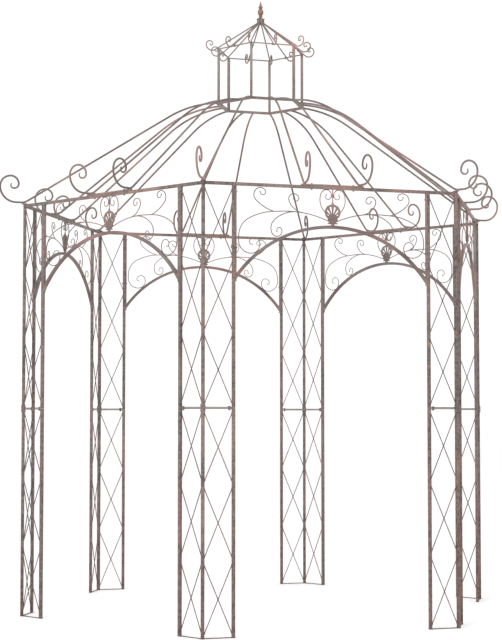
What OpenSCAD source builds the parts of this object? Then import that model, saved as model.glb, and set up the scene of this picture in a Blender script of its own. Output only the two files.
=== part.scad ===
// Six-sided wrought-iron garden pavilion: lattice posts, scrolled arch panels,
// a rafter roof and an open lantern with a finial. Millimetres, +Z up.

/* [Plan and heights] */
// Radius from the middle of the pavilion to each corner bar
plan_r = 1380; // [1100:10:1700]
// Height of the joint between lower and upper post
joint_h = 1138; // [900:1:1300]
// Height of the top of the eave rails
eave_h = 2273; // [2100:1:2500]
// Height of the middle of the crown ring
crown_h = 2908; // [2750:1:3100]
// Height of the lantern, from crown ring to top ring
lantern_h = 318; // [200:1:450]
// Rise of the lantern roof, from top ring to hub
lantern_rise = 172; // [120:1:260]
// Radius of the crown ring to its corners
crown_r = 256; // [200:1:340]

/* [Posts] */
// Distance from the corner bar to each side bar
post_w = 159; // [120:1:220]
// Width of the square post bars
post_bar = 16; // [12:1:24]
// Thickness of the lattice wires
lattice_wire = 5; // [3:0.5:8]
// Thickness of the cross bars at floor and joint
cross_bar = 5; // [4:1:12]
// Number of crosses in each post half
cross_count = 3; // [2:1:5]
// Height of the block on each corner under the rafter
cap_h = 6; // [3:1:15]

/* [Arch panels] */
// Height of the eave rail above the crown of each arch
arch_clear = 194; // [160:1:240]
// Rise of each arch
arch_rise = 269; // [180:1:330]
// Width of the square arch bar
arch_bar = 16; // [10:1:20]
// Thickness of the flat bar at each end of a panel
end_bar = 6; // [4:1:12]
// Thickness of the scrollwork wire
scroll_wire = 5; // [3:0.5:8]

/* [Roof] */
// Width of the square rafter rods
rafter_rod = 11; // [7:1:14]
// Distance of the rafters of a fan from the middle of the side
fan_half = 152; // [90:1:220]
// Radius of the bend near the top of a rafter
bend_r = 620; // [400:10:900]
// Slope of the rafters at the crown ring, in degrees
crown_slope = 4; // [0:1:20]
// Radius of the first turn of the rafter scrolls
eave_scroll = 88; // [50:1:110]

/* [Lantern] */
// Width of the square lantern posts
lantern_bar = 13; // [9:1:18]
// Thickness of the lantern roof rods
lantern_rod = 7; // [5:1:10]
// Radius of the first turn of the lantern scrolls
lantern_scroll = 33; // [18:1:45]
// Height of the finial above the hub
finial_h = 130; // [90:1:200]

/* [Hidden] */
CORNERS = ["front_left", "front_right", "right", "back_right", "back_left", "left"];
SIDES = ["front", "right_front", "right_back", "back", "left_back", "left_front"];

// Plan
apothem = plan_r * cos(30);
panel_half = plan_r / 2 - post_w - post_bar / 2;

// Post joint
joint_gap = 0.5;
sleeve_w = post_bar + 6;
sleeve_h = 20;

// Arch panel: scrollwork and shell are drawn for one clear width and height
// and stretched with the panel
rail_under = eave_h - post_bar;
arch_crown = rail_under - arch_clear;
arch_span = panel_half - end_bar / 2;
arch_r = (arch_span * arch_span + arch_rise * arch_rise) / (2 * arch_rise);
arch_angle = asin(arch_span / arch_r);
drawn_half = 517;
drawn_clear = 194;
stretch_x = (panel_half - end_bar) / drawn_half;
stretch_z = arch_clear / drawn_clear;
arch_over = 2;
end_drop = 1.3 * arch_bar;
end_foot = arch_crown - arch_rise - end_drop;
collar_w = 12;
collar_h = 17;
collar_base = 152 * stretch_z;

// Roof
fan_bar_h = 8;
fan_angle = atan(fan_half / apothem);
foot_bend = 60;
hip_knee = 2;
hip_flat = 32;
hip_sink = 0.3;
fan_knee = -15;
fan_flat = 36;
fan_sink = 1;
ring_w = 14;
ring_h = 14;
ring_outer = crown_r + ring_w / 2 / cos(30);
ring_inner = crown_r - ring_w / 2 / cos(30);
segment_t = 8;
segment_h = 11;
segment_face = ring_outer * cos(30) + segment_t;

// Lantern
top_ring_w = 8;
top_ring_h = 6;
top_ring_r = crown_r + top_ring_w / 2;
rod_rest = 0.6 * lantern_rod;
rod_past = 26;
rod_bend = 16;
rod_flat = 8;
lantern_top = crown_h + lantern_h;
hub_h = lantern_top + lantern_rise;
hub_r = 17;
hub_top = hub_h + 18;

// Paths: a pen starts at a point with a heading in degrees. A move is
// [0, length] for a straight line or [radius, turn] for an arc, which
// turns left for a positive radius and right for a negative one.
function side_of(move) = sign(move[0]) * 90;
function centre(p, h, move) = p + abs(move[0]) * [cos(h + side_of(move)), sin(h + side_of(move))];
function on_arc(p, h, move, turn) =
    let (a = h - side_of(move) + sign(move[0]) * turn)
    centre(p, h, move) + abs(move[0]) * [cos(a), sin(a)];
function move_end(p, h, move) =
    move[0] == 0 ? p + move[1] * [cos(h), sin(h)] : on_arc(p, h, move, move[1]);
function heading_after(h, move) = move[0] == 0 ? h : h + sign(move[0]) * move[1];
function arc_steps(move) = move[0] == 0 ? 1 : ceil(move[1] / max(9, min(18, 900 / abs(move[0]))));
function move_points(p, h, move) =
    let (n = arc_steps(move))
    move[0] == 0 ? [move_end(p, h, move)] : [for (i = [1 : n]) on_arc(p, h, move, move[1] * i / n)];
function trace(p, h, moves, i = 0) =
    i == len(moves) ? [] :
    concat(move_points(p, h, moves[i]),
        trace(move_end(p, h, moves[i]), heading_after(h, moves[i]), moves, i + 1));
function pen(p, h, moves) = concat([p], trace(p, h, moves));

// Outline of a rod of width w along a path
function unit(v) = v / norm(v);
function along(path, i) = unit(path[min(i + 1, len(path) - 1)] - path[max(i - 1, 0)]);
function across(path, i) = [-along(path, i)[1], along(path, i)[0]];
function rod_outline(path, w) = concat(
    [for (i = [0 : len(path) - 1]) path[i] + w / 2 * across(path, i)],
    [for (i = [len(path) - 1 : -1 : 0]) path[i] - w / 2 * across(path, i)]);

// A scroll that winds up from radius r, as a share of it at each turn
function volute(r) = [[r, 90], [0.68 * r, 90], [0.5 * r, 90], [0.29 * r, 110], [0.17 * r, 110]];

module iron() color([0.46, 0.38, 0.34]) children();
module at_corner(k) rotate([0, 0, -120 + 60 * k]) children();
module at_side(i) rotate([0, 0, 60 * i]) translate([0, -apothem, 0]) children();
module upright(t) rotate([90, 0, 0]) linear_extrude(height = t, center = true) children();
module square_bar(w, z0, z1) translate([-w / 2, -w / 2, z0]) cube([w, w, z1 - z0]);

// ---- posts ----

// Straight wire in the plane of a lattice, from p to q as [along, height]
module wire(p, q) {
    rise = atan2(q[1] - p[1], q[0] - p[0]);
    translate([p[0], 0, p[1]])
        rotate([0, 90 - rise, 0])
            cylinder(h = norm(q - p), d = lattice_wire, $fn = 6);
}

module lattice(z0, z1) {
    cell = (z1 - z0) / cross_count;
    for (i = [0 : cross_count - 1]) {
        wire([0, z0 + i * cell], [post_w, z0 + (i + 1) * cell]);
        wire([post_w, z0 + i * cell], [0, z0 + (i + 1) * cell]);
    }
}

module cross_rail(z, h, w) translate([0, -w / 2, z]) cube([post_w, w, h]);

// One half of a V-shaped corner post: three bars with two faces of lattice
module post_half(k, z0, z1, lattice0, lattice1) {
    at_corner(k) translate([plan_r, 0, 0]) {
        square_bar(post_bar, z0, z1);
        for (face = [-120, 120]) {
            rotate([0, 0, face]) {
                translate([post_w, 0, 0]) square_bar(post_bar, z0, z1);
                lattice(lattice0, lattice1);
            }
        }
    }
}

module lower_post(k) iron() {
    post_half(k, 0, joint_h, cross_bar, joint_h - joint_gap - cross_bar);
    at_corner(k) translate([plan_r, 0, 0]) {
        square_bar(sleeve_w, joint_h - sleeve_h, joint_h);
        for (face = [-120, 120]) rotate([0, 0, face]) {
            cross_rail(0, cross_bar, cross_bar);
            cross_rail(joint_h - joint_gap - cross_bar, cross_bar, cross_bar);
        }
    }
}

module upper_post(k) iron() {
    post_half(k, joint_h, eave_h, joint_h + joint_gap + cross_bar, rail_under);
    at_corner(k) translate([plan_r, 0, 0]) {
        square_bar(sleeve_w, joint_h, joint_h + sleeve_h);
        square_bar(sleeve_w, eave_h, eave_h + cap_h);
        for (face = [-120, 120]) rotate([0, 0, face]) {
            cross_rail(joint_h + joint_gap, cross_bar, cross_bar);
            cross_rail(rail_under, post_bar, post_bar);
        }
    }
}

// ---- arch panels ----

// Scroll along a path of [along, height above the arch crown] as drawn
module scroll(path)
    polygon(rod_outline([for (p = path) [p[0] * stretch_x, arch_crown + p[1] * stretch_z]], scroll_wire));

// The stem runs from the shell to the post and curls back; branches leave it
stem = pen([-12, 25], 157, [[0, 16], [535, 26], [0, 50], [321, 25], [107, 60], [0, 22],
    [65, 96], [46, 112], [27, 135], [13, 118]]);
function on_stem(x) = [x, lookup(x, stem)];

module half_scrollwork() {
    scroll(stem);
    scroll(pen(on_stem(-170), 167, [[-94, 55], [-28, 177], [-15, 91], [-14, 120]]));
    scroll(pen(on_stem(-188), 175, [[165, 48], [59, 73], [28, 175], [12, 89], [16, 90]]));
    scroll(pen(on_stem(-318), 165, [[-207, 31.5], [-36, 148], [-28, 40], [-15, 221]]));
    scroll(pen([-35, 71], 143, [[-86, 76], [-31, 72], [-27, 130], [-14, 183]]));
}

// Scallop shell on the arch crown: ribs fan out of a round body to a lobed
// rim, with a slot between each two ribs. Drawn above the arch crown, like the scrolls
shell_eye = [0, 50];
shell_r = 27;
rim_side = 29;
rim_rise = 38;
rib_count = 7;
rib_step = 26;
lobe_r = 9;
lobe_sink = 7;
slot_start = 20;
slot_end = 13;
slot_tip = 3.5;
slot_root = 1.2;
base_leaf = [[-12, 0], [12, 0], [11, 9], [8, 13], [26, 17], [27, 22], [14, 28],
    [-14, 28], [-27, 22], [-26, 17], [-8, 13], [-11, 9]];
crest_w = 16;
crest_h = 16;
crest_root = 3;
function rim(turn) = rim_side + rim_rise * cos(turn);
shell_top = shell_eye[1] + rim(0);
module toward(turn) translate(shell_eye) rotate(-turn) children();
module slot_between(turn) toward(turn) {
    end = rim(turn) - slot_end;
    polygon([[-slot_root, slot_start], [slot_root, slot_start], [slot_tip, end], [-slot_tip, end]]);
    translate([0, end]) circle(r = slot_tip, $fn = 12);
}
module shell_outline() difference() {
    union() {
        polygon([for (turn = [-90 : 6 : 90]) shell_eye + rim(turn) * [sin(turn), cos(turn)]]);
        for (i = [0 : rib_count - 1]) {
            turn = rib_step * (i - (rib_count - 1) / 2);
            toward(turn) translate([0, rim(turn) - lobe_sink]) circle(r = lobe_r, $fn = 16);
        }
        translate(shell_eye) circle(r = shell_r, $fn = 36);
        polygon(base_leaf);
        translate([0, shell_top - crest_root])
            polygon([[-crest_w / 2, 0], [crest_w / 2, 0], [0, crest_root + crest_h]]);
    }
    for (i = [1 : rib_count - 1]) slot_between(rib_step * (i - rib_count / 2));
}

// Rod from the shell up to the rail, with the collar that binds the scrolls to it
module shell_stem() {
    translate([-scroll_wire / 2, arch_crown + shell_top * stretch_z])
        square([scroll_wire, rail_under - arch_crown - shell_top * stretch_z + 1]);
    translate([-collar_w / 2, arch_crown + collar_base]) square([collar_w, collar_h]);
}

module arch() intersection() {
    translate([0, 0, arch_crown - arch_r])
        rotate([90, 0, 0]) rotate([0, 0, 90 - arch_angle - arch_over])
            rotate_extrude(angle = 2 * (arch_angle + arch_over), $fn = 144)
                translate([arch_r - arch_bar / 2, -arch_bar / 2]) square(arch_bar);
    translate([-panel_half, -arch_bar, 0]) cube([2 * panel_half, 2 * arch_bar, eave_h]);
}

module arch_panel(i) iron() at_side(i) {
    arch();
    for (s = [-1, 1]) translate([s * arch_span - end_bar / 2, -post_bar / 2, end_foot])
        cube([end_bar, post_bar, eave_h - end_foot]);
    translate([-arch_span, -post_bar / 2, rail_under]) cube([2 * arch_span, post_bar, post_bar]);
    upright(scroll_wire) {
        half_scrollwork();
        mirror([1, 0]) half_scrollwork();
        shell_stem();
    }
    upright(2 * scroll_wire) translate([0, arch_crown]) scale([stretch_x, stretch_z]) shell_outline();
}

// ---- roof ----

// Rod from the crown down to a foot and out into a scroll, in [radius, height]
function rafter_path(r_top, knee, flat) =
    let (bend = [r_top - bend_r * sin(crown_slope), crown_h - bend_r * cos(crown_slope)])
    let (far = norm(bend - knee))
    let (slope = atan2(bend[1] - knee[1], knee[0] - bend[0]) + asin(bend_r / far))
    let (straight = sqrt(far * far - bend_r * bend_r) - foot_bend * tan(slope / 2))
    pen([r_top, crown_h], -crown_slope, concat(
        [[-bend_r, slope - crown_slope], [0, straight], [foot_bend, slope], [0, flat]],
        volute(eave_scroll)));

module rafter(r_top, knee, flat)
    upright(rafter_rod) polygon(rod_outline(rafter_path(r_top, knee, flat), rafter_rod));

module hip_rafter(k) iron() difference() {
    at_corner(k)
        rafter(ring_inner, [plan_r + hip_knee, eave_h + cap_h + rafter_rod / 2 - hip_sink], hip_flat);
    cylinder(h = 2 * crown_h, r = ring_outer, $fn = 6);
}

module roof_fan(i) iron() {
    at_side(i) translate([-fan_half - 18, -post_bar / 2, eave_h])
        cube([2 * fan_half + 36, post_bar, fan_bar_h]);
    for (s = [-1, 1]) rotate([0, 0, 60 * i - 90 + s * fan_angle])
        rafter((segment_face - 3) / cos(fan_angle),
            [apothem / cos(fan_angle) + fan_knee, eave_h + fan_bar_h + rafter_rod / 2 - fan_sink], fan_flat);
    rotate([0, 0, 60 * i]) translate([-ring_outer / 2 + 8, -segment_face, crown_h - segment_h / 2])
        cube([ring_outer - 16, segment_t, segment_h]);
}

module hexagon_ring(r_out, r_in, z, h) {
    translate([0, 0, z]) difference() {
        cylinder(h = h, r = r_out, $fn = 6);
        translate([0, 0, -1]) cylinder(h = h + 2, r = r_in, $fn = 6);
    }
}

module crown_ring() iron() hexagon_ring(ring_outer, ring_inner, crown_h - ring_h / 2, ring_h);

// ---- lantern ----

module lantern_post(k) iron() at_corner(k) translate([crown_r, 0, 0])
    square_bar(lantern_bar, crown_h + ring_h / 2, lantern_top - top_ring_h / 2);

module lantern_top_ring() iron()
    hexagon_ring(top_ring_r, top_ring_r - top_ring_w, lantern_top - top_ring_h / 2, top_ring_h);

// Rod from the hub down over the edge of the top ring and out into a scroll
function lantern_rod_path(r_ring) =
    let (start = [hub_r - 3, hub_h])
    let (edge = [r_ring, lantern_top + top_ring_h / 2 + rod_rest])
    let (slope = atan2(start[1] - edge[1], edge[0] - start[0]))
    pen(start, -slope, concat(
        [[0, norm(edge - start) + rod_past], [rod_bend, slope], [0, rod_flat]], volute(lantern_scroll)));

module lantern_roof() iron() {
    for (j = [0 : 11]) rotate([0, 0, 30 * j])
        upright(lantern_rod)
            polygon(rod_outline(lantern_rod_path(top_ring_r * (j % 2 == 0 ? 1 : cos(30))), lantern_rod));
    translate([0, 0, hub_h - 12]) cylinder(h = hub_top - hub_h + 12, r = hub_r, $fn = 48);
}

module finial() color([0.62, 0.42, 0.32]) {
    ball = [for (t = [20 : 20 : 160]) [4 + 10.5 * sin(t), 23 + 21 * (1 - cos(t))]];
    translate([0, 0, hub_top]) rotate_extrude($fn = 48)
        polygon(concat([[0, 0], [11, 0], [9, 7], [9, 14], [7, 22]], ball,
            [[5, 66], [11, 70], [7.5, 79], [4, 89], [2, 100], [0, finial_h - 18]]));
}

for (k = [0 : 5]) {
    lower_post(k);
    upper_post(k);
    hip_rafter(k);
    lantern_post(k);
    arch_panel(k);
    roof_fan(k);
}
crown_ring();
lantern_top_ring();
lantern_roof();
finial();
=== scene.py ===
"""Looks of the six-sided wrought-iron garden pavilion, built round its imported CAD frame.

Metres, +Z up. Every bar, rod, scroll and fitting is meshed with its rounded section at the
place of its CAD node and stands for that node; bolts, welds and leaves are added to them.
"""

from math import asin, atan, atan2, ceil, cos, degrees, radians, sin, sqrt, tan

import bmesh
import bpy
from mathutils import Matrix, Vector


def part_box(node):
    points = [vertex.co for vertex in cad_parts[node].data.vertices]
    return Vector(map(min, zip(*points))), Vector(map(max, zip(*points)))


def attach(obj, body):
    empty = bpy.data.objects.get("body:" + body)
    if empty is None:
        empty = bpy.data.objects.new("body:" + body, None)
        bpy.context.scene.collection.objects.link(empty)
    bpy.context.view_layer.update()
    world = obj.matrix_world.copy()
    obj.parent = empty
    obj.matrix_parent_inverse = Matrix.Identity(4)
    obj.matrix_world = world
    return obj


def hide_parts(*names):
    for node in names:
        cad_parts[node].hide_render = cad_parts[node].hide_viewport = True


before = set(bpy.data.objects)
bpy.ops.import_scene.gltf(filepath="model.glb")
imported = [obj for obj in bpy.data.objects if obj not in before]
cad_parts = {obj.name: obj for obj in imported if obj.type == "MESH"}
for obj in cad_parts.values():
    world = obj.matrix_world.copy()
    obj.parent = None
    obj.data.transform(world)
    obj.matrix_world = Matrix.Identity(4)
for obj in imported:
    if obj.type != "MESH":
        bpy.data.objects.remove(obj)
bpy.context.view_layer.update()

COS30 = cos(radians(30))
UP = Vector((0, 0, 1))
ALONG = Vector((1, 0, 0))
BACK = Vector((0, 1, 0))
NORMAL = Vector((0, -1, 0))  # every path is drawn in a plane that faces this way

CORNERS = ("front_left", "front_right", "right", "back_right", "back_left", "left")
SIDES = ("front", "right_front", "right_back", "back", "left_back", "left_front")
# A corner's pieces are drawn at +X and a side's at -Y: these turns carry them to their places.
CORNER_TURNS = {corner: -120 + 60 * i for i, corner in enumerate(CORNERS)}
SIDE_TURNS = {side: 60 * i for i, side in enumerate(SIDES)}

# ---- sizes: sections as in the CAD, places from its boxes ----

# Rounding of the edges of a tube, a lantern tube, a flat bar and a thin bar
EDGE, LANTERN_EDGE, FLAT_EDGE, THIN_EDGE = 0.0014, 0.0012, 0.0010, 0.0008

POST_BAR = 0.016  # square tube of the posts and the eave rails
POST_W = 0.159  # from the corner bar to a side bar, between their axes
LATTICE_WIRE = 0.005
CROSS_COUNT = 3  # crosses of lattice on each face of half a post
CROSS_BAR = 0.005  # bars at the floor and at the joint
CROSS_BAR_START = 0.004  # from the corner bar's axis
JOINT_GAP = 0.0005  # from the joint's middle to each of its two bars
TUBE_GAP = 0.0003  # from the joint's middle to the tubes of each half
SLEEVE_GAP = 0.0002  # from the joint's middle to the sleeve of each half
SLEEVE_W = 0.022
SLEEVE_H = 0.020  # in each half
CAP_H = 0.006
CAP_SINK = 0.001  # of the cap's block below the eave
JOINT_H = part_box("lower_post_front_left")[1].z
EAVE_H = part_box("arch_front")[1].z
RAIL_UNDER = EAVE_H - POST_BAR
APOTHEM = (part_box("arch_back")[1].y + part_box("arch_back")[0].y) / 2
PLAN_R = APOTHEM / COS30
PANEL_HALF = PLAN_R / 2 - POST_W - POST_BAR / 2

ARCH_BAR = 0.016
ARCH_RISE = 0.269
OVER_ARCH = 0.194  # from the crown of the arch to the rail
ARCH_CROWN = RAIL_UNDER - OVER_ARCH
ARCH_STEPS = 56
END_BAR = 0.006
END_DROP = 1.3 * ARCH_BAR  # of the end bars below the arch
ARCH_SPAN = PANEL_HALF - END_BAR / 2
CLEAR_HALF = PANEL_HALF - END_BAR
ARCH_R = (ARCH_SPAN**2 + ARCH_RISE**2) / (2 * ARCH_RISE)
SCROLL_WIRE = 0.005

RING_W = 0.014
RING_LOW, RING_HIGH = (corner.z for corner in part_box("crown_ring"))
RING_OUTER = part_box("crown_ring")[1].x
CROWN_R = RING_OUTER - RING_W / 2 / COS30
CROWN_H = (RING_LOW + RING_HIGH) / 2
SEGMENT_T, SEGMENT_H = 0.008, 0.011  # bar of a fan that lies against the ring
SEGMENT_HALF = RING_OUTER / 2 - 0.008
SEGMENT_FACE = RING_OUTER * COS30 + SEGMENT_T

RAFTER_ROD = 0.011
ROD_TOP_SINK = 0.003  # of its top end into the crown
BEND_R = 0.620  # of the shoulder under the crown
CROWN_SLOPE = radians(4)
FOOT_BEND = 0.060
EAVE_SCROLL = 0.088
# Of the rods' feet: the knee past the post or the rail, the flat run, the sink into what is below
HIP_KNEE, HIP_FLAT, HIP_SINK = 0.002, 0.032, 0.0003
FAN_KNEE, FAN_FLAT, FAN_SINK = -0.015, 0.036, 0.001
HIP_WELD_PAST = 0.009
FAN_HALF = 0.152
FAN_BAR_H = 0.008
FAN_BAR_HALF = FAN_HALF + 0.018

LANTERN_BAR = 0.013
LANTERN_ROD = 0.0076
LANTERN_SCROLL = 0.033
TOP_RING_W = 0.008
TOP_RING_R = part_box("lantern_top_ring")[1].x
TOP_LOW, TOP_HIGH = (corner.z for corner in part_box("lantern_top_ring"))
ROD_REST = 0.0042  # of a lantern rod's axis above the top ring
ROD_PAST, ROD_BEND, ROD_FLAT = 0.026, 0.016, 0.008  # its run, bend and flat past the ring
HUB_R = 0.017
HUB_SINK = 0.003  # of the rods into the hub
HUB_RISE = 0.018  # of the hub's top above the rods
HUB_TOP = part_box("finial")[0].z
HUB_H = HUB_TOP - HUB_RISE
FINIAL_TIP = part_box("finial")[1].z

# Bolts: heights of head, nut and domed head, sizes over the flats, and where they stand
HEAD_H, NUT_H, DOME_H = 0.0042, 0.0046, 0.0050
BOLT_FLATS = 0.010
JOINT_BOLT_FLATS, JOINT_BOLT_X = 0.012, POST_W - 0.022
FOOT_BOLT_FLATS, FOOT_BOLT_X = 0.009, 0.114
CROWN_BOLT_FLATS, CROWN_BOLT_X = 0.008, 0.085
TOP_RING_BOLT_FLATS = 0.009
PANEL_BOLT_HEIGHTS = (1.943, 2.226)

# Beads of weld: radius and half length
WIRE_WELD, WIRE_WELD_IN = (0.0042, 0.0050), 0.009
CROSSING_WELD = (0.0042, 0.0055)
FORK_WELD = (0.0033, 0.0065)
SCROLL_TIP = (0.0034, 0.0034)
BAR_WELD_SHARE = 0.62  # of the bar's width
SPRING_WELD, SPRING_WELD_UP = (0.0045, 0.0062), 0.014
ROD_FOOT_WELD = (0.0068, 0.0110)
ROD_TOP_WELD = (0.0072, 0.0040)
RING_WELD = (0.0030, 0.0095)
TUBE_WELD = (0.0088, 0.0038)
LANTERN_ROD_WELD, LANTERN_ROD_WELD_IN = (0.0048, 0.0062), 0.002

# ---- paths ----

ARC_STEP = 0.011  # length between the points of an arc, which are from 1.5 to 13 degrees apart
FINEST_TURN, COARSEST_TURN = 1.5, 13


def pen(point, heading, moves):
    """Points of a plane path. A move is (0, length) for a straight line, or (radius, turn) for an
    arc, which turns left for a positive radius and right for a negative one."""
    spot = Vector(point)
    heading = radians(heading)
    path = [spot]
    for radius, amount in moves:
        if radius == 0:
            spot = spot + amount * Vector((cos(heading), sin(heading)))
            path.append(spot)
            continue
        side = 1 if radius > 0 else -1
        quarter = side * radians(90)
        middle = spot + abs(radius) * Vector((cos(heading + quarter), sin(heading + quarter)))
        step = degrees(ARC_STEP / abs(radius))
        steps = ceil(amount / max(FINEST_TURN, min(COARSEST_TURN, step)))
        for i in range(1, steps + 1):
            angle = heading - quarter + side * radians(amount) * i / steps
            path.append(middle + abs(radius) * Vector((cos(angle), sin(angle))))
        spot = path[-1]
        heading += side * radians(amount)
    return path


def volute(radius):
    """Moves of a scroll that winds up from that radius."""
    winds = ((1, 90), (0.68, 90), (0.5, 90), (0.29, 110), (0.17, 110))
    return [(share * radius, turn) for share, turn in winds]


def stand(path, side=1):
    """A plane path as points of [along X, up Z], mirrored when the side is -1."""
    return [Vector((side * p.x, 0, p.y)) for p in path]


def tapered(path, loss, power, begin=0.0):
    """Shares of a rod's width that fall by a loss from that part of its path to the end."""
    last = len(path) - 1
    return [1 - loss * (max(0, i / last - begin) / (1 - begin)) ** power for i in range(last + 1)]


# ---- mesh pens ----


def round_section(width, sides=12):
    turns = [radians(360 * (i + 0.5) / sides) for i in range(sides)]
    return [Vector((width / 2 * cos(t), width / 2 * sin(t))) for t in turns]


def square_section(width, depth=None, edge=EDGE):
    """A rectangle with rounded edges: width across the path, depth along the path's normal."""
    a, b = (depth or width) / 2 - edge, width / 2 - edge
    section = []
    for side_a, side_b, start in ((1, 1, 0), (-1, 1, 90), (-1, -1, 180), (1, -1, 270)):
        for turn in (radians(start), radians(start + 45), radians(start + 90)):
            section.append(Vector((side_a * a + edge * cos(turn), side_b * b + edge * sin(turn))))
    return section


def ring_at(spot, course, section, share):
    """A section square to the course of a path. Its first axis is the path's normal."""
    across = course.cross(NORMAL)
    return [spot + share * (s.x * NORMAL + s.y * across) for s in section]


def rings_along(path, section, shares):
    """Rings of a section that follows a path, scaled by a share at each of its points."""
    rings = []
    for i, spot in enumerate(path):
        course = (path[min(i + 1, len(path) - 1)] - path[max(i - 1, 0)]).normalized()
        rings.append(ring_at(spot, course, section, shares[i]))
    return rings


def skin(bm, rings, closed=False):
    """Joins rings of points into a tube, and closes its ends unless it runs round to its start."""
    loops = [[bm.verts.new(p) for p in ring] for ring in rings]
    pairs = list(zip(loops, loops[1:])) + ([(loops[-1], loops[0])] if closed else [])
    for one, two in pairs:
        for i in range(len(one)):
            j = (i + 1) % len(one)
            bm.faces.new((one[i], one[j], two[j], two[i]))
    if not closed:
        bm.faces.new(list(reversed(loops[0])))
        bm.faces.new(loops[-1])


def add_solid(bm, other, place):
    """Adds another mesh to this one at that place."""
    bmesh.ops.transform(other, matrix=place, verts=other.verts)
    joined = bpy.data.meshes.new("joined")
    other.to_mesh(joined)
    other.free()
    bm.from_mesh(joined)
    bpy.data.meshes.remove(joined)


def rod(bm, path, width, sides=12, shares=None):
    """A round rod with rounded ends along a path."""
    shares = shares or [1] * len(path)
    turns = [radians(t) for t in (75, 45, 20)]
    out, back = (path[0] - path[1]).normalized(), (path[-1] - path[-2]).normalized()
    first, last = shares[0] * width / 2, shares[-1] * width / 2
    head = [path[0] + first * sin(t) * out for t in turns]
    tail = [path[-1] + last * sin(t) * back for t in reversed(turns)]
    head_shares = [shares[0] * cos(t) for t in turns]
    tail_shares = [shares[-1] * cos(t) for t in reversed(turns)]
    section = round_section(width, sides)
    skin(bm, rings_along(head + path + tail, section, head_shares + shares + tail_shares))


def bar(bm, start, end, width, depth=None, edge=EDGE):
    """A straight bar with rounded edges: its ends are chamfered by the same amount."""
    course = (end - start).normalized()
    path = [start, start + edge * course, end - edge * course, end]
    small = 1 - 1.2 * edge / min(width, depth or width)
    section = square_section(width, depth, edge)
    skin(bm, [ring_at(spot, course, section, s) for spot, s in zip(path, (small, 1, 1, small))])


def upright(bm, x, low, high, width, depth=None, edge=EDGE):
    bar(bm, Vector((x, 0, low)), Vector((x, 0, high)), width, depth, edge)


def level(bm, x_start, x_end, y, z, width, depth=None, edge=EDGE):
    bar(bm, Vector((x_start, y, z)), Vector((x_end, y, z)), width, depth, edge)


def lathe(bm, profile, sides, place=None):
    """Turns a profile of (radius, height) round an axis; its ends close with flat faces."""
    place = place or Matrix()
    turns = [radians(360 * i / sides) for i in range(sides)]
    rings = []
    for radius, height in profile:
        rings.append([place @ Vector((radius * cos(t), radius * sin(t), height)) for t in turns])
    skin(bm, rings)


def facing(spot, axis):
    """The place of a fitting whose foot is at that spot and whose height runs along the axis."""
    return Matrix.Translation(spot) @ axis.to_track_quat("Z", "Y").to_matrix().to_4x4()


def hex_head(bm, spot, axis, flats, height=HEAD_H):
    """A washer and a chamfered hexagon on it."""
    place = facing(spot, axis)
    corner = flats / 2 / COS30
    washer = [(0.6 * flats, 0), (0.6 * flats, 0.0008), (0.55 * flats, 0.0011)]
    hexagon = [(corner, 0.0009), (corner, height - 0.0008), (0.84 * corner, height)]
    lathe(bm, washer, 20, place)
    lathe(bm, hexagon, 6, place)


def nut(bm, spot, axis, flats):
    """A nut on its washer, with the rounded end of the bolt standing out of it."""
    hex_head(bm, spot, axis, flats, NUT_H)
    thread = 0.28 * flats
    end = [(thread, 0.004), (thread, 0.0062), (0.7 * thread, 0.0072)]
    lathe(bm, end, 12, facing(spot, axis))


def bolt(bm, head, end, flats=BOLT_FLATS):
    """A bolt through whatever lies between two points: head on one side, nut on the other."""
    axis = (end - head).normalized()
    hex_head(bm, head, -axis, flats)
    nut(bm, end, axis, flats)
    shank = 0.26 * flats
    lathe(bm, [(shank, 0), (shank, (end - head).length)], 12, facing(head, axis))


def weld(bm, spot, bead, axis=UP):
    """A smooth bead of weld, longer along its axis, sunk into what it joins."""
    radius, half = bead
    turns = [radians(t) for t in (-75, -45, -15, 15, 45, 75)]
    lathe(bm, [(radius * cos(t), half * sin(t)) for t in turns], 10, facing(spot, axis))


# ---- materials ----

WORN = (0.340, 0.280, 0.240, 1)
GRIME = (0.115, 0.045, 0.045, 1)
# Colours of a paint: its dark, grey and warm tones, its rust and its worn edges
PAINT = (
    (0.106, 0.081, 0.077, 1), (0.172, 0.145, 0.139, 1), (0.262, 0.157, 0.137, 1),
    (0.340, 0.170, 0.115, 1), WORN,
)
CAST_PAINT = (
    (0.120, 0.080, 0.060, 1), (0.190, 0.140, 0.115, 1), (0.320, 0.165, 0.110, 1),
    (0.400, 0.200, 0.115, 1), WORN,
)
GRIME_TOP = 1.0  # height at which the grime has faded out
MIX_A, MIX_B, MIX_RESULT = 6, 7, 2  # colour sockets of the mix node


def shade(colour, share):
    return tuple(share * c for c in colour[:3]) + (1,)


def even_grey(value):
    """A grey, or a number that a ramp or a mix carries as a colour."""
    return (value, value, value, 1)


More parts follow.
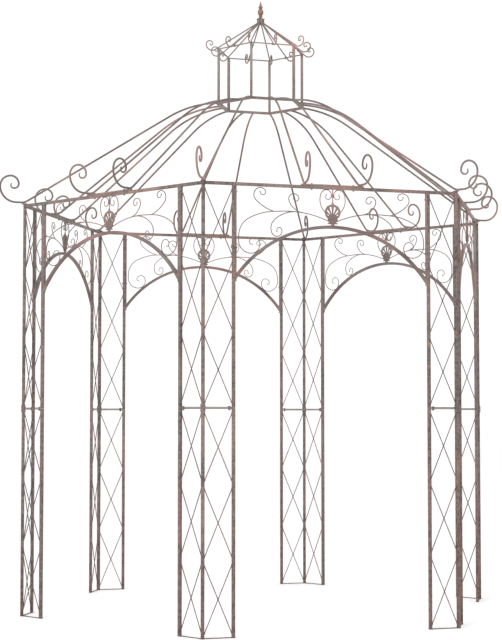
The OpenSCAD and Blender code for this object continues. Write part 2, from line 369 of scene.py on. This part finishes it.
def painted_iron(name, lighting_tone, rust_share, offset, paint=PAINT):
    """Antique brown paint over iron: cloudy brown tones, redder toward the ground, with rust
    bloom in patches and thin worn edges. The lightness factor scales the whole paint as painted
    light and shade: lighter copies of one paint for the parts higher up, a darker one for the
    posts. The offset moves its clouds."""
    # Painted light and shade: one paint lightened or darkened as a whole, a copy for each part
    dark, grey, warm = [shade(colour, lighting_tone) for colour in paint[:3]]
    rust, worn = paint[3:]
    material = bpy.data.materials.new(name)
    material.use_nodes = True
    nodes, links = material.node_tree.nodes, material.node_tree.links
    shader = nodes["Principled BSDF"]

    def node(kind, **settings):
        """A node whose settings are the values of its sockets or its own properties."""
        made = nodes.new(kind)
        for key, value in settings.items():
            if key in made.inputs:
                made.inputs[key].default_value = value
            else:
                setattr(made, key, value)
        return made

    def noise(scale, detail, roughness=0.55):
        made = node("ShaderNodeTexNoise", Scale=scale, Detail=detail, Roughness=roughness)
        links.new(place.outputs["Vector"], made.inputs["Vector"])
        return made.outputs["Fac"]

    def ramp(source, low, high, low_end=even_grey(0), high_end=even_grey(1)):
        made = node("ShaderNodeValToRGB")
        stops = ((low, low_end), (high, high_end))
        for element, (position, colour) in zip(made.color_ramp.elements, stops):
            element.position = position
            element.color = colour
        links.new(source, made.inputs["Fac"])
        return made.outputs["Color"]

    def mix(factor, one, two):
        made = node("ShaderNodeMix", data_type="RGBA")
        links.new(factor, made.inputs["Factor"])
        for value, socket in ((one, made.inputs[MIX_A]), (two, made.inputs[MIX_B])):
            if isinstance(value, tuple):
                socket.default_value = value
            else:
                links.new(value, socket)
        return made.outputs[MIX_RESULT]

    def bump(height, strength, distance, under=None):
        made = node("ShaderNodeBump", Strength=strength, Distance=distance)
        links.new(height, made.inputs["Height"])
        if under is not None:
            links.new(under, made.inputs["Normal"])
        return made.outputs["Normal"]

    coordinates = node("ShaderNodeTexCoord")
    place = node("ShaderNodeMapping", Location=offset)
    links.new(coordinates.outputs["Object"], place.inputs["Vector"])
    bloom = noise(scale=23, detail=6, roughness=0.68)
    grain = noise(scale=260, detail=5, roughness=0.7)

    # Paint: tones in clouds, grime near the ground, dark grain
    weathered = ramp(noise(scale=1.1, detail=2), 0.44, 0.58, grey, warm)
    cloud = mix(ramp(noise(scale=4.5, detail=2), 0.34, 0.66), dark, weathered)
    height = node("ShaderNodeSeparateXYZ")
    links.new(coordinates.outputs["Object"], height.inputs[0])
    clean = ramp(height.outputs["Z"], 0.0, GRIME_TOP, even_grey(0.40))
    grimy = mix(clean, GRIME, cloud)
    toned = mix(ramp(grain, 0.2, 0.45), shade(dark, 0.8), grimy)

    # Rust in patches, and wear on parts of the edges
    spots = ramp(bloom, 0.62 - rust_share, 0.72 - rust_share)
    rusted = mix(spots, toned, rust)
    edges = ramp(node("ShaderNodeNewGeometry").outputs["Pointiness"], 0.54, 0.66)
    wear = node("ShaderNodeMath", operation="MULTIPLY")
    links.new(edges, wear.inputs[0])
    links.new(ramp(noise(scale=60, detail=4), 0.42, 0.6), wear.inputs[1])
    links.new(mix(wear.outputs[0], rusted, worn), shader.inputs["Base Color"])

    # Paint is smoother than rust
    painted = ramp(bloom, 0.3, 0.7, even_grey(0.46), even_grey(0.62))
    links.new(mix(spots, painted, even_grey(0.86)), shader.inputs["Roughness"])
    shader.inputs["Metallic"].default_value = 0.15
    shader.inputs["Specular IOR Level"].default_value = 0.3

    # Relief: fine pits in the grain, under the unevenness of the hammered metal
    pits = bump(ramp(grain, 0.35, 0.75), strength=0.55, distance=0.0006)
    hammered = bump(bloom, strength=0.5, distance=0.0012, under=pits)
    links.new(hammered, shader.inputs["Normal"])
    return material


# Material of each slot, and of the shells: lightness of the paint (painted light and shade,
# lighter toward the top), share of rust, offset of the clouds
SLOT_MATERIALS = {
    "post_iron": painted_iron("post_iron_rust", 0.84, 0.02, (0, 0, 0)),
    "arch_iron": painted_iron("arch_iron_rust", 1.2, 0.04, (3, 1, 0)),
    "roof_iron": painted_iron("roof_iron_rust", 1.3, 0.03, (0, 5, 2)),
    "lantern_iron": painted_iron("lantern_iron_rust", 1.6, 0.05, (7, 0, 4)),
    "finial_iron": painted_iron("finial_iron_rust", 1.25, 0.09, (1, 2, 3), CAST_PAINT),
}
SHELL_MATERIAL = painted_iron("shell_iron_rust", 1.35, 0.04, (2, 2, 1))


def piece(name, bm, slot, stands_for=None, turn=0, shift=(0, 0, 0), smooth_below=38, finish=None):
    """Makes an object of a mesh, shifted and then turned about the pavilion's axis into its
    place. It stands for a CAD node, if one is named, and takes its slot's material or a finish."""
    mesh = bpy.data.meshes.new(name)
    place = Matrix.Rotation(radians(turn), 4, "Z") @ Matrix.Translation(shift)
    bmesh.ops.transform(bm, matrix=place, verts=bm.verts)
    bmesh.ops.recalc_face_normals(bm, faces=bm.faces)
    bm.to_mesh(mesh)
    bm.free()
    mesh.shade_smooth()
    mesh.set_sharp_from_angle(angle=radians(smooth_below))
    mesh.materials.append(finish or SLOT_MATERIALS[slot])
    made = bpy.data.objects.new(name, mesh)
    bpy.context.scene.collection.objects.link(made)
    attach(made, "root")
    if stands_for:
        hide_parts(stands_for)


# ---- posts: three tubes with two faces of lattice, in two halves ----

# The two faces of a post at the +X corner, as the turns that carry +X along them
FACE_TURNS = [Matrix.Rotation(radians(turn), 4, "Z") for turn in (-120, 120)]


def lattice_face(bm, low, high):
    """Crossed wires from the corner bar (x = 0) to the side bar, welded at ends and crossings."""
    cell = (high - low) / CROSS_COUNT
    lap = 0.35 * LATTICE_WIRE
    for i in range(CROSS_COUNT):
        bottom, top = low + i * cell, low + (i + 1) * cell
        for start, end, y in ((bottom, top, -lap), (top, bottom, lap)):
            rod(bm, [Vector((0, y, start)), Vector((POST_W, y, end))], LATTICE_WIRE, sides=10)
            rise = (end - start) * WIRE_WELD_IN / POST_W
            weld(bm, Vector((WIRE_WELD_IN, y, start + rise)), WIRE_WELD)
            weld(bm, Vector((POST_W - WIRE_WELD_IN, y, end - rise)), WIRE_WELD)
        weld(bm, Vector((POST_W / 2, 0, (bottom + top) / 2)), CROSSING_WELD)


def post_half(tubes, lattice, rails, sleeves):
    """Half a post at the +X corner: low and high ends of its tubes, of its lattice and of the
    sleeves on its corner tube, and (middle height, width) of the bars between its tubes."""
    bm = bmesh.new()
    upright(bm, 0, *tubes, POST_BAR)
    for sleeve in sleeves:
        upright(bm, 0, *sleeve, SLEEVE_W)
    inner = POST_W - POST_BAR / 2
    for turn in FACE_TURNS:
        face = bmesh.new()
        upright(face, POST_W, *tubes, POST_BAR)
        lattice_face(face, *lattice)
        for z, width in rails:
            level(face, CROSS_BAR_START, inner, 0, z, width, edge=FLAT_EDGE)
            bead = BAR_WELD_SHARE * width
            weld(face, Vector((inner, 0, z)), (bead, bead), BACK)
        add_solid(bm, face, turn)
    return bm


def lower_half():
    bar_under = JOINT_H - JOINT_GAP - CROSS_BAR
    return post_half(
        tubes=(0, JOINT_H - TUBE_GAP),
        lattice=(CROSS_BAR, bar_under),
        rails=[(CROSS_BAR / 2, CROSS_BAR), (bar_under + CROSS_BAR / 2, CROSS_BAR)],
        sleeves=[(JOINT_H - SLEEVE_H, JOINT_H - SLEEVE_GAP)],
    )


def upper_half():
    bar_top = JOINT_H + JOINT_GAP + CROSS_BAR
    return post_half(
        tubes=(JOINT_H + TUBE_GAP, EAVE_H),
        lattice=(bar_top, RAIL_UNDER),
        rails=[(bar_top - CROSS_BAR / 2, CROSS_BAR), (RAIL_UNDER + POST_BAR / 2, POST_BAR)],
        sleeves=[(JOINT_H + SLEEVE_GAP, JOINT_H + SLEEVE_H), (EAVE_H - CAP_SINK, EAVE_H + CAP_H)],
    )


def joint_bolts():
    """Bolts through the pair of cross bars at the joint, one beside each side bar."""
    bm = bmesh.new()
    half = JOINT_GAP + CROSS_BAR
    for turn in FACE_TURNS:
        spot = turn @ Vector((JOINT_BOLT_X, 0, JOINT_H))
        bolt(bm, spot + half * UP, spot - half * UP, JOINT_BOLT_FLATS)
    return bm


for corner, turn in CORNER_TURNS.items():
    place = {"turn": turn, "shift": (PLAN_R, 0, 0)}
    for half, mesh in (("lower", lower_half()), ("upper", upper_half())):
        piece(f"{half}_{corner}_lattice_post", mesh, "post_iron", f"{half}_post_{corner}", **place)
    piece(f"joint_bolts_{corner}", joint_bolts(), "post_iron", **place)

# ---- arch panels: paths from the middle of the panel, heights above the arch's crown ----

STEM = pen(
    (-0.012, 0.025), 157,
    [(0, 0.016), (0.535, 26), (0, 0.050), (0.321, 25), (0.107, 60), (0, 0.022),
     (0.065, 96), (0.046, 112), (0.027, 135), (0.013, 118)],
)


def on_stem(x):
    """The point of the stem at that distance along the panel."""
    for one, two in zip(STEM, STEM[1:]):
        if two.x <= x <= one.x:
            return one + (two - one) * (one.x - x) / (one.x - two.x)


FORKED = [
    pen(on_stem(-0.170), 167, [(-0.094, 55), (-0.028, 177), (-0.015, 91), (-0.014, 120)]),
    pen(on_stem(-0.188), 175, [(0.165, 48), (0.059, 73), (0.028, 175), (0.012, 89), (0.016, 90)]),
    pen(on_stem(-0.318), 165, [(-0.207, 31.5), (-0.036, 148), (-0.028, 40), (-0.015, 221)]),
]
LYRE = pen((-0.035, 0.071), 143, [(-0.086, 76), (-0.031, 72), (-0.027, 130), (-0.014, 183)])

SHELL_EYE = 0.050  # height of the point from which the ribs spread
RIM_SIDE, RIM_RISE = 0.029, 0.038
RIM_SWEEP, RIM_INSET = 96, 0.0050
RIM_BAND = (0.0105, 0.0062, 0.0018)  # width, depth and rounding
RIB_COUNT, RIB_STEP = 7, 26
RIB_WIDTH, RIB_FLATNESS, RIB_PAST = 0.0140, 0.70, 0.002
NARROWEST_RIB = 0.62  # share of the middle rib's width
# Places along a rib and the shares of its width there: a thin root and a lobe near the tip
RIB_MARKS = (0.12, 0.3, 0.45, 0.58, 0.68, 0.78, 0.87, 0.94, 0.985, 1.0)
RIB_SHARES = (0.50, 0.56, 0.62, 0.72, 0.84, 1.0, 1.18, 1.12, 0.70, 0.2)
BODY_HALF, BODY_DEEP, BODY_Z = 0.0272, 0.0085, 0.046
BODY_LOW, BODY_TALL = -0.0215, 0.0400
# Distances from the body's middle at which its width below and above, and its depth, would close
BODY_UNDER_R, BODY_OVER_R, BODY_DEEP_R = 0.0235, 0.0212, 0.031
BODY_STEPS, BODY_SIDES, FLUTES, FLUTE_DEEP = 16, 72, 7, 0.0009
# Half of the pointed leaves as (distance from the middle, height), its width and its shares
LEAF = (
    (0.002, 0.0215), (0.010, 0.0208), (0.017, 0.0195), (0.022, 0.0187), (0.0262, 0.0186),
    (0.0285, 0.0192),
)
LEAF_WIDTH, LEAF_SHARES = 0.0098, (1, 1, 0.88, 0.74, 0.45, 0.12)
# Profile of (radius, height), and its depth as a share of its width
SHELL_FOOT = (
    (0.0122, 0.0060), (0.0120, 0.0092), (0.0100, 0.0115), (0.0082, 0.0135), (0.0080, 0.0155),
    (0.0098, 0.0178), (0.0128, 0.0212), (0.0142, 0.0250), (0.0136, 0.0300),
)
FOOT_FLATNESS = 0.62
CREST_FLATNESS = 0.72
COLLAR_Z, COLLAR_TURNS, COLLAR_PITCH, COLLAR_WIDE = 0.152, 4, 0.00425, 1.45
STUB_LOW_SINK, STUB_HIGH_SINK = 0.006, 0.002  # of the rod over the shell into shell and rail


def scrollwork():
    """Stem and branches of both halves, with a weld at each fork, above the arch crown."""
    bm = bmesh.new()
    for side in (1, -1):
        for path in [STEM, *FORKED, LYRE]:
            points = stand(path, side)
            rod(bm, points, SCROLL_WIRE, sides=10, shares=tapered(points, loss=0.22, power=3))
            weld(bm, points[-1], SCROLL_TIP, BACK)
        for path in FORKED:
            weld(bm, stand(path, side)[0], FORK_WELD, Vector((side, 0, 0)))
    return bm


def rim(turn):
    """Reach of the shell from its eye at that turn from upright, in degrees."""
    return RIM_SIDE + RIM_RISE * cos(radians(turn))


def from_eye(turn, reach):
    return Vector((reach * sin(radians(turn)), 0, SHELL_EYE + reach * cos(radians(turn))))


def body_ring(lift):
    """Outline of the shell's round, finely fluted body at that height from its middle."""
    if lift < 0:
        half = BODY_HALF * (1 - abs(lift / BODY_UNDER_R) ** 3) ** (1 / 3)
    else:
        half = BODY_HALF * sqrt(1 - (lift / BODY_OVER_R) ** 2)
    deep = BODY_DEEP * sqrt(1 - (lift / BODY_DEEP_R) ** 2)
    ring = []
    for i in range(BODY_SIDES):
        angle = radians(360 * i / BODY_SIDES)
        across, out = cos(angle), sin(angle)
        x = half * abs(across) ** 0.85 * (1 if across > 0 else -1)
        ridge = FLUTE_DEEP * abs(sin(radians(90) * across * FLUTES)) if abs(out) > 0.15 else 0
        y = (deep * abs(out) ** 0.75 + ridge) * (1 if out > 0 else -1)
        ring.append(Vector((x, y, BODY_Z + lift)))
    return ring


def shell():
    """Cast scallop: round ribs that swell into lobes, an arched rim behind them, a domed body with
    fine flutes, and two pointed leaves at its foot. It shows the same relief on both faces."""
    bm = bmesh.new()
    section = [Vector((RIB_FLATNESS * s.x, s.y)) for s in round_section(RIB_WIDTH)]
    for i in range(RIB_COUNT):
        turn = RIB_STEP * (i - (RIB_COUNT - 1) / 2)
        reach = rim(turn)
        width = max(NARROWEST_RIB, reach / rim(0))
        path = [from_eye(turn, (reach + RIB_PAST) * mark) for mark in RIB_MARKS]
        skin(bm, rings_along(path, section, [width * share for share in RIB_SHARES]))
    turns = range(-RIM_SWEEP, RIM_SWEEP + 1, 6)
    edge = [from_eye(turn, rim(turn) - RIM_INSET) for turn in turns]
    skin(bm, rings_along(edge, square_section(*RIM_BAND), [1] * len(edge)))
    lifts = [BODY_LOW + BODY_TALL * step / BODY_STEPS for step in range(BODY_STEPS + 1)]
    skin(bm, [body_ring(lift) for lift in lifts])
    for side in (1, -1):
        path = [Vector((side * x, 0, z)) for x, z in LEAF]
        skin(bm, rings_along(path, round_section(LEAF_WIDTH, 10), LEAF_SHARES))
    lathe(bm, SHELL_FOOT, 20, Matrix.Diagonal((1, FOOT_FLATNESS, 1, 1)))
    return bm


def shell_rod():
    """Rod from the shell up to the rail, with the wrapped collar that binds the lyre to it."""
    bm = bmesh.new()
    top = SHELL_EYE + rim(0)
    ends = (top - STUB_LOW_SINK, OVER_ARCH + STUB_HIGH_SINK)
    rod(bm, [z * UP for z in ends], SCROLL_WIRE)
    crest = [
        (0.0086, top - 0.0040), (0.0082, top), (0.0062, top + 0.0040), (0.0044, top + 0.0090),
        (0.0034, top + 0.0130), (0.0028, top + 0.0165),
    ]
    lathe(bm, crest, 16, Matrix.Diagonal((1, CREST_FLATNESS, 1, 1)))
    bands = []
    for i in range(COLLAR_TURNS):
        low = COLLAR_Z + i * COLLAR_PITCH
        bands += [(0.0036, low), (0.0043, low + 0.0010), (0.0043, low + 0.0032)]
    bands.append((0.0036, COLLAR_Z + COLLAR_TURNS * COLLAR_PITCH))
    lathe(bm, bands, 20, Matrix.Diagonal((COLLAR_WIDE, 1, 1, 1)))
    return bm


def arch_frame():
    """Bent square tube between two flat end bars, under a straight rail."""
    bm = bmesh.new()
    section = square_section(ARCH_BAR)
    sweep = asin(CLEAR_HALF / ARCH_R)
    centre = Vector((0, 0, ARCH_CROWN - ARCH_R))
    rings = []
    for i in range(ARCH_STEPS + 1):
        angle = sweep * (2 * i / ARCH_STEPS - 1)
        out = Vector((sin(angle), 0, cos(angle)))
        spot = centre + ARCH_R * out
        ring = [spot + s.x * NORMAL - s.y * out for s in section]
        if i in (0, ARCH_STEPS):  # the ends are cut flush with the end bars
            side = -1 if i == 0 else 1
            course = Vector((cos(angle), 0, -sin(angle)))
            ring = [p + course * ((side * CLEAR_HALF - p.x) / course.x) for p in ring]
        rings.append(ring)
    skin(bm, rings)
    spring_h = ARCH_CROWN - ARCH_RISE
    for side in (-1, 1):
        x = side * ARCH_SPAN
        upright(bm, x, spring_h - END_DROP, EAVE_H, END_BAR, POST_BAR, edge=THIN_EDGE)
        weld(bm, Vector((side * CLEAR_HALF, 0, spring_h + SPRING_WELD_UP)), SPRING_WELD, BACK)
    level(bm, -CLEAR_HALF, CLEAR_HALF, 0, RAIL_UNDER + POST_BAR / 2, POST_BAR)
    return bm


def panel_bolts():
    """Bolts through each end bar and the side bar of the post beside it."""
    bm = bmesh.new()
    for side in (-1, 1):
        for z in PANEL_BOLT_HEIGHTS:
            inner = Vector((side * CLEAR_HALF, 0, z))
            outer = Vector((side * (PANEL_HALF + POST_BAR), 0, z))
            bolt(bm, inner, outer)
    return bm


for side, turn in SIDE_TURNS.items():
    at_side = {"turn": turn, "shift": (0, -APOTHEM, 0)}
    on_arch = {"turn": turn, "shift": (0, -APOTHEM, ARCH_CROWN)}
    piece(f"arch_frame_{side}", arch_frame(), "arch_iron", f"arch_{side}", **at_side)
    piece(f"scrollwork_{side}", scrollwork(), "arch_iron", **on_arch)
    piece(
        f"shell_{side}", shell(), "arch_iron", smooth_below=60, finish=SHELL_MATERIAL, **on_arch
    )
    piece(f"shell_rod_{side}", shell_rod(), "arch_iron", **on_arch)
    piece(f"panel_bolts_{side}", panel_bolts(), "arch_iron", **at_side)

# ---- roof ----


def rafter_path(r_top, knee, flat):
    """From the crown down to a foot and out into a scroll, as points of (radius, height)."""
    bend = Vector((r_top - BEND_R * sin(CROWN_SLOPE), CROWN_H - BEND_R * cos(CROWN_SLOPE)))
    knee = Vector(knee)
    far = (bend - knee).length
    slope = atan2(bend.y - knee.y, knee.x - bend.x) + asin(BEND_R / far)
    straight = sqrt(far**2 - BEND_R**2) - FOOT_BEND * tan(slope / 2)
    moves = [
        (-BEND_R, degrees(slope - CROWN_SLOPE)), (0, straight), (FOOT_BEND, degrees(slope)),
        (0, flat),
    ]
    return pen((r_top, CROWN_H), -degrees(CROWN_SLOPE), moves + volute(EAVE_SCROLL))


def rafter(bm, r_top, knee, flat, foot_weld, top_weld):
    """A rafter in the plane of +X, and its welds as (radius, height)."""
    path = stand(rafter_path(r_top, knee, flat))
    rod(bm, path, RAFTER_ROD, shares=tapered(path, loss=0.40, power=1.5, begin=0.7))
    for (r, z), bead in ((foot_weld, ROD_FOOT_WELD), (top_weld, ROD_TOP_WELD)):
        weld(bm, Vector((r, 0, z)), bead, ALONG)


def hip_rafter():
    """Round rod from the corner of the crown ring, welded to the cap of the post."""
    bm = bmesh.new()
    cap_top = EAVE_H + CAP_H
    knee = (PLAN_R + HIP_KNEE, cap_top + RAFTER_ROD / 2 - HIP_SINK)
    foot_weld, top_weld = (PLAN_R + HIP_WELD_PAST, cap_top), (RING_OUTER, CROWN_H)
    rafter(bm, RING_OUTER - ROD_TOP_SINK, knee, HIP_FLAT, foot_weld, top_weld)
    return bm


def roof_fan():
    """Two rods that spread from a bar on the crown ring to a bar on the eave rail, both bolted."""
    bm = bmesh.new()
    bar_z, bar_top = EAVE_H + FAN_BAR_H / 2, EAVE_H + FAN_BAR_H
    level(bm, -FAN_BAR_HALF, FAN_BAR_HALF, -APOTHEM, bar_z, FAN_BAR_H, POST_BAR)
    angle = atan(FAN_HALF / APOTHEM)
    reach = APOTHEM / cos(angle)
    for side in (-1, 1):
        one = bmesh.new()
        r_top = (SEGMENT_FACE - ROD_TOP_SINK) / cos(angle)
        knee = (reach + FAN_KNEE, bar_top + RAFTER_ROD / 2 - FAN_SINK)
        top_weld = (SEGMENT_FACE / cos(angle), CROWN_H)
        rafter(one, r_top, knee, FAN_FLAT, (reach, bar_top), top_weld)
        add_solid(bm, one, Matrix.Rotation(radians(-90) + side * angle, 4, "Z"))
    y = -SEGMENT_FACE + SEGMENT_T / 2
    level(bm, -SEGMENT_HALF, SEGMENT_HALF, y, CROWN_H, SEGMENT_H, SEGMENT_T, edge=FLAT_EDGE)
    return bm


def fan_bolts():
    """Bolts down through the fan's foot bar and the rail, and through its top bar and the ring."""
    bm = bmesh.new()
    for side in (-1, 1):
        x = side * FOOT_BOLT_X
        top = Vector((x, -APOTHEM, EAVE_H + FAN_BAR_H))
        under = Vector((x, -APOTHEM, RAIL_UNDER))
        bolt(bm, top, under, FOOT_BOLT_FLATS)
        face = Vector((side * CROWN_BOLT_X, -SEGMENT_FACE, CROWN_H))
        bolt(bm, face, face + (SEGMENT_T + RING_W) * BACK, CROWN_BOLT_FLATS)
    return bm


def hexagon_ring(bm, r_out, width, low, high, edge):
    """Flat bar bent into a hexagon with rounded edges; width is measured across a side."""
    middle, z = r_out - width / COS30 / 2, (low + high) / 2
    section = square_section(width, high - low, edge)
    rings = []
    for i in range(6):
        turn = radians(60 * i)
        out = Vector((cos(turn), sin(turn), 0))
        rings.append([(middle + s.y / COS30) * out + (z + s.x) * UP for s in section])
    skin(bm, rings, closed=True)


def crown_ring():
    bm = bmesh.new()
    hexagon_ring(bm, RING_OUTER, RING_W, RING_LOW, RING_HIGH, FLAT_EDGE)
    for i in range(6):
        turn = radians(60 * i)
        weld(bm, Vector((RING_OUTER * cos(turn), RING_OUTER * sin(turn), CROWN_H)), RING_WELD)
    return bm


for corner, turn in CORNER_TURNS.items():
    piece(f"hip_rod_{corner}", hip_rafter(), "roof_iron", f"hip_rafter_{corner}", turn)
for side, turn in SIDE_TURNS.items():
    piece(f"fan_rods_{side}", roof_fan(), "roof_iron", f"roof_fan_{side}", turn)
    piece(f"fan_bolts_{side}", fan_bolts(), "roof_iron", turn=turn)
piece("crown_hexagon", crown_ring(), "lantern_iron", "crown_ring")

# ---- lantern ----

# Leaf on the hub: its foot, the moves of its curl, its thickness, and how much wider it is
HUB_LEAF_R, HUB_LEAF_Z = 0.0185, -0.006
HUB_LEAF_CURL = ((0, 0.008), (0.026, 34), (-0.0034, 120), (-0.0020, 110))
HUB_LEAF_T, HUB_LEAF_WIDE = 0.0064, 2.1
# Profiles of (radius, height): the hub's from its middle, the finial's from its foot
HUB_PROFILE = (
    (0.0060, -0.0120), (0.0130, -0.0118), (0.0162, -0.0095), (0.0170, -0.0060), (0.0170, 0.0030),
    (0.0158, 0.0052), (0.0145, 0.0068), (0.0152, 0.0086), (0.0170, 0.0100), (0.0172, 0.0130),
    (0.0160, 0.0156), (0.0128, 0.0172), (0.0085, 0.0180),
)
FINIAL_FOOT = (
    (0.0124, 0.0000), (0.0128, 0.0018), (0.0124, 0.0036), (0.0110, 0.0052), (0.0102, 0.0075),
    (0.0100, 0.0115), (0.0104, 0.0150), (0.0116, 0.0168), (0.0118, 0.0184), (0.0110, 0.0200),
    (0.0096, 0.0216), (0.0088, 0.0228),
)
BALL_NECK, BALL_SWELL, BALL_Z, BALL_HALF = 0.0040, 0.0128, 0.044, 0.021
FINIAL_SPEAR = (
    (0.0074, 0.0648), (0.0068, 0.0660), (0.0078, 0.0674), (0.0120, 0.0690), (0.0138, 0.0704),
    (0.0138, 0.0718), (0.0124, 0.0740), (0.0108, 0.0768), (0.0090, 0.0808), (0.0074, 0.0850),
    (0.0056, 0.0905), (0.0040, 0.0965), (0.0025, 0.1035),
)


def lantern_post():
    bm = bmesh.new()
    upright(bm, CROWN_R, RING_HIGH, TOP_LOW, LANTERN_BAR, edge=LANTERN_EDGE)
    for z in (RING_HIGH, TOP_LOW):
        weld(bm, Vector((CROWN_R, 0, z)), TUBE_WELD)
    return bm


def top_ring():
    bm = bmesh.new()
    hexagon_ring(bm, TOP_RING_R, TOP_RING_W, TOP_LOW, TOP_HIGH, THIN_EDGE)
    return bm


def lantern_rod_path(r_ring):
    """From the hub down over the edge of the top ring and out into a scroll."""
    start = Vector((HUB_R - HUB_SINK, HUB_H))
    edge = Vector((r_ring, TOP_HIGH + ROD_REST))
    slope = degrees(atan2(start.y - edge.y, edge.x - start.x))
    moves = [(0, (edge - start).length + ROD_PAST), (ROD_BEND, slope), (0, ROD_FLAT)]
    return pen(start, -slope, moves + volute(LANTERN_SCROLL))


def hub_leaf(bm):
    """A forged leaf that stands against the hub, in the plane of +X, and rolls out at its tip."""
    path = stand(pen((HUB_LEAF_R, HUB_H + HUB_LEAF_Z), 82, HUB_LEAF_CURL))
    last = len(path) - 1
    section = [Vector((HUB_LEAF_WIDE * s.x, s.y)) for s in round_section(HUB_LEAF_T, 10)]
    shares = [0.75 + 0.4 * sin(radians(180 * min(1, 1.1 * i / last))) for i in range(last + 1)]
    skin(bm, rings_along(path, section, shares))


def lantern_roof():
    """Twelve scrolled rods round a turned hub with a whorl of leaves."""
    bm = bmesh.new()
    for i in range(12):
        one = bmesh.new()
        to_corner = i % 2 == 0
        r_ring = TOP_RING_R * (1 if to_corner else COS30)
        path = stand(lantern_rod_path(r_ring))
        rod(one, path, LANTERN_ROD, sides=10, shares=tapered(path, loss=0.32, power=3))
        spot = Vector((r_ring - LANTERN_ROD_WELD_IN, 0, TOP_HIGH))
        weld(one, spot, LANTERN_ROD_WELD, ALONG)
        if not to_corner:
            hub_leaf(one)
        add_solid(bm, one, Matrix.Rotation(radians(30 * i), 4, "Z"))
    lathe(bm, [(r, HUB_H + z) for r, z in HUB_PROFILE], 40)
    return bm


def ring_bolts():
    """Domed bolts up through the top ring at the middle of its sides, under the short rods."""
    bm = bmesh.new()
    for i in range(6):
        turn = radians(30 + 60 * i)
        spot = (TOP_RING_R * COS30 - TOP_RING_W / 2) * Vector((cos(turn), sin(turn), 0))
        hex_head(bm, spot + TOP_LOW * UP, -UP, TOP_RING_BOLT_FLATS, DOME_H)
    return bm


def finial():
    """Turned finial: moulded foot, ball between fillets, and a collared spear point."""
    bm = bmesh.new()
    turns = [radians(t) for t in range(20, 161, 10)]
    ball = [(BALL_NECK + BALL_SWELL * sin(t), BALL_Z - BALL_HALF * cos(t)) for t in turns]
    height = FINIAL_TIP - HUB_TOP
    tip = [(0.0011, height - 0.0015), (0.0002, height)]
    profile = [*FINIAL_FOOT, *ball, *FINIAL_SPEAR, *tip]
    lathe(bm, [(r, HUB_TOP + z) for r, z in profile], 40)
    return bm


for corner, turn in CORNER_TURNS.items():
    node = f"lantern_post_{corner}"
    piece(f"lantern_tube_{corner}", lantern_post(), "lantern_iron", node, turn)
piece("lantern_hexagon", top_ring(), "lantern_iron", "lantern_top_ring")
piece("lantern_rods_and_hub", lantern_roof(), "lantern_iron", "lantern_roof")
piece("lantern_ring_bolts", ring_bolts(), "lantern_iron")
piece("turned_finial", finial(), "finial_iron", "finial", smooth_below=60)

# ---- floor, light and camera ----

FLOOR_SIZE, FLOOR_GREY, FLOOR_ROUGHNESS = 80, 0.94, 0.9
STUDIO_STRENGTH = 1.06
KEY_SPOT, KEY_TARGET, KEY_SIZE, KEY_WATTS = Vector((-6, -7, 7)), Vector((0, 0, 1.8)), 4, 350
EYE = (-2.936, -9.042, 1.103)
YAW, PITCH = radians(72.35), radians(3.31)
FOCAL_MM, SENSOR_MM = 92.31, 36


def aim(made, direction):
    """Points a lamp or a camera that way."""
    made.rotation_mode = "QUATERNION"
    made.rotation_quaternion = direction.to_track_quat("-Z", "Y")


bpy.ops.mesh.primitive_plane_add(size=FLOOR_SIZE)
floor = bpy.context.object
floor.name = "floor"
pale = bpy.data.materials.new("pale_floor")
pale.use_nodes = True
pale_shader = pale.node_tree.nodes["Principled BSDF"]
pale_shader.inputs["Base Color"].default_value = even_grey(FLOOR_GREY)
pale_shader.inputs["Roughness"].default_value = FLOOR_ROUGHNESS
floor.data.materials.append(pale)

bpy.context.scene.view_settings.view_transform = "Standard"
world = bpy.data.worlds.new("studio")
bpy.context.scene.world = world
world.use_nodes = True
studio = world.node_tree.nodes["Background"]
studio.inputs["Color"].default_value = even_grey(1)
studio.inputs["Strength"].default_value = STUDIO_STRENGTH

softbox = bpy.data.lights.new("key_softbox", "AREA")
softbox.size = KEY_SIZE
softbox.energy = KEY_WATTS
key = bpy.data.objects.new("key_softbox", softbox)
bpy.context.scene.collection.objects.link(key)
key.location = KEY_SPOT
aim(key, KEY_TARGET - KEY_SPOT)

lens = bpy.data.cameras.new("camera")
lens.lens = FOCAL_MM
lens.sensor_width = SENSOR_MM
camera = bpy.data.objects.new("camera", lens)
bpy.context.scene.collection.objects.link(camera)
camera.location = EYE
aim(camera, Vector((cos(YAW) * cos(PITCH), sin(YAW) * cos(PITCH), sin(PITCH))))
bpy.context.scene.camera = camera
